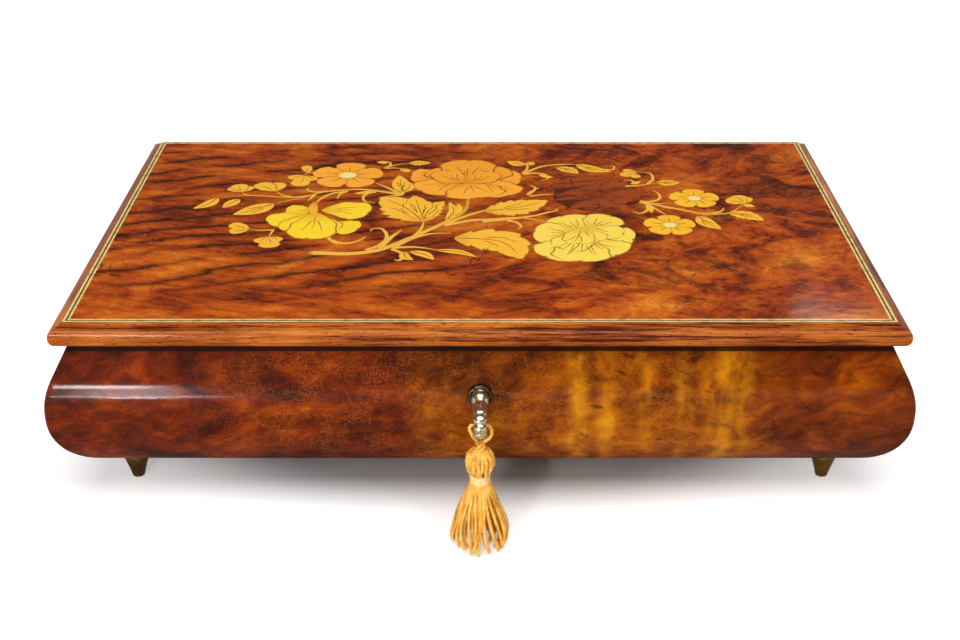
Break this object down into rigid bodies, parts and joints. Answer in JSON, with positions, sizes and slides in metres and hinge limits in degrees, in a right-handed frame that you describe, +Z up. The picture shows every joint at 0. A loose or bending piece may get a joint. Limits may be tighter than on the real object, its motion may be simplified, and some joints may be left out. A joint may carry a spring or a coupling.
{
  "type": "musical jewellery box",
  "caption": "Glossy inlaid wooden musical jewellery box: bowed sides, hinged lid, lock and tasselled key, velvet inside, wind-up cylinder movement.",
  "frame": {"origin": "on the surface the feet stand on, midway between the bowed sides and midway between the key's tip and the hinges' backs", "axes": "+X towards the right as the front is seen, the length of the box; the front with its key faces -Y; +Z up through the lid"},
  "size_m": [0.307, 0.2315, 0.0724],
  "materials": {
    "lacquered_veneer": "high gloss lacquer over burl veneer",
    "rosewood": "high gloss lacquer, straight grain",
    "lid_burl": "high gloss lacquer over figured walnut",
    "core_wood": "plain",
    "light_string": "lacquered",
    "dark_string": "lacquered",
    "velvet": "matt velvet",
    "velvet_board": "matt velvet over board",
    "clear_acrylic": "clear, polished",
    "aged_brass": "aged",
    "hinge_brass": "satin",
    "dark_bronze": "dark aged",
    "antique_nickel": "antique, worn bright",
    "steel": "satin",
    "gold_plate": "bright plated",
    "movement_brass": "polished",
    "gold_cord": "silky rayon"
  },
  "bodies": {
    "case": {"base_board": "lacquered_veneer", "front_wall": "lacquered_veneer", "left_wall": "lacquered_veneer", "right_wall": "lacquered_veneer", "back_wall": "lacquered_veneer", "floor_lining": "velvet", "wall_lining": "velvet", "ring_rolls": "velvet", "long_divider": "velvet_board", "cross_divider": "velvet_board", "cover_blocks": "core_wood", "movement_cover": "clear_acrylic", "feet": "aged_brass", "hinge_leaves_case": "hinge_brass", "hinge_pins": "hinge_brass", "hinge_screws_case": "hinge_brass", "lock_case": "hinge_brass", "lock_screws": "hinge_brass", "keyhole_ring": "dark_bronze", "bedplate": "gold_plate", "movement_screws": "steel", "comb": "steel", "comb_screws": "steel", "cylinder_brackets": "gold_plate", "governor_bracket": "gold_plate"},
    "lid": {"lid_moulding_front": "rosewood", "lid_moulding_back": "rosewood", "lid_moulding_left": "rosewood", "lid_moulding_right": "rosewood", "lid_panel": "core_wood", "lid_veneer": "lid_burl", "stringing_outer": "light_string", "stringing_dark": "dark_string", "stringing_inner": "light_string", "lid_lining": "velvet", "hinge_leaves_lid": "hinge_brass", "hinge_screws_lid": "hinge_brass", "strike_plate": "hinge_brass", "strike_screws": "hinge_brass"},
    "key": {"key": "antique_nickel"},
    "lock_bolt": {"lock_bolt": "steel"},
    "tassel_loop": {"tassel_loop": "gold_cord", "tassel_knot": "gold_cord"},
    "tassel": {"tassel_head": "gold_cord", "tassel_wrap": "gold_cord", "tassel_skirt": "gold_cord"},
    "winder": {"winding_arbor": "steel", "winding_key": "gold_plate"},
    "barrel": {"spring_barrel": "movement_brass", "barrel_cap": "movement_brass", "mainspring": "steel"},
    "cylinder": {"cylinder": "movement_brass", "cylinder_arbor": "steel", "cylinder_pins": "steel", "cylinder_wheel": "movement_brass"},
    "second_wheel": {"second_wheel": "movement_brass"},
    "fan": {"worm_shaft": "steel", "fan": "movement_brass"},
    "stop": {"stop_rod": "steel"}
  },
  "joints": [
    {"name": "lid_hinge", "type": "hinge", "parent": "case", "child": "lid", "pos_m": [0, 0.11152, 0.06385], "axis": [-1, 0, 0], "range_deg": [0, 95]},
    {"name": "key_turn", "type": "hinge", "parent": "case", "child": "key", "pos_m": [0, -0.08, 0.0471], "axis": [0, -1, 0], "range_deg": [0, 90]},
    {"name": "lock_slide", "type": "slide", "parent": "case", "child": "lock_bolt", "axis": [1, 0, 0], "range_m": [0, 0.003]},
    {"name": "tassel_hang", "type": "hinge", "parent": "key", "child": "tassel_loop", "pos_m": [0, -0.10838, 0.04285], "axis": [0, -1, 0], "range_deg": [-90.5, 0.5]},
    {"name": "tassel_swing", "type": "hinge", "parent": "tassel_loop", "child": "tassel", "pos_m": [0, -0.10838, 0.0386], "axis": [0, 1, 0], "range_deg": [-25, 25]},
    {"name": "winding", "type": "hinge", "parent": "case", "child": "winder", "pos_m": [-0.11575, 0.07112, 0.0138], "axis": [0, 0, 1], "continuous": true},
    {"name": "cylinder_spin", "type": "hinge", "parent": "case", "child": "cylinder", "pos_m": [-0.10075, 0.07112, 0.02925], "axis": [1, 0, 0], "continuous": true},
    {"name": "barrel_spin", "type": "hinge", "parent": "case", "child": "barrel", "pos_m": [-0.11575, 0.07112, 0.0138], "axis": [0, 0, 1], "continuous": true},
    {"name": "second_wheel_spin", "type": "hinge", "parent": "case", "child": "second_wheel", "pos_m": [-0.10075, 0.05862, 0.02925], "axis": [1, 0, 0], "continuous": true},
    {"name": "fan_spin", "type": "hinge", "parent": "case", "child": "fan", "pos_m": [-0.08725, 0.05342, 0.0138], "axis": [0, 0, 1], "continuous": true},
    {"name": "stop_slide", "type": "slide", "parent": "case", "child": "stop", "axis": [0, 0, 1], "range_m": [0, 0.0041]}
  ],
  "couplings": [
    {"joint": "key_turn", "follows": "lock_slide", "rad_per_m": 523.6},
    {"joint": "tassel_hang", "follows": "lock_slide", "rad_per_m": -523.6},
    {"joint": "barrel_spin", "follows": "cylinder_spin", "ratio": 0.25},
    {"joint": "second_wheel_spin", "follows": "cylinder_spin", "ratio": -4},
    {"joint": "fan_spin", "follows": "cylinder_spin", "ratio": -64},
    {"joint": "stop_slide", "follows": "lid_hinge", "m_per_rad": 0.0024}
  ]
}
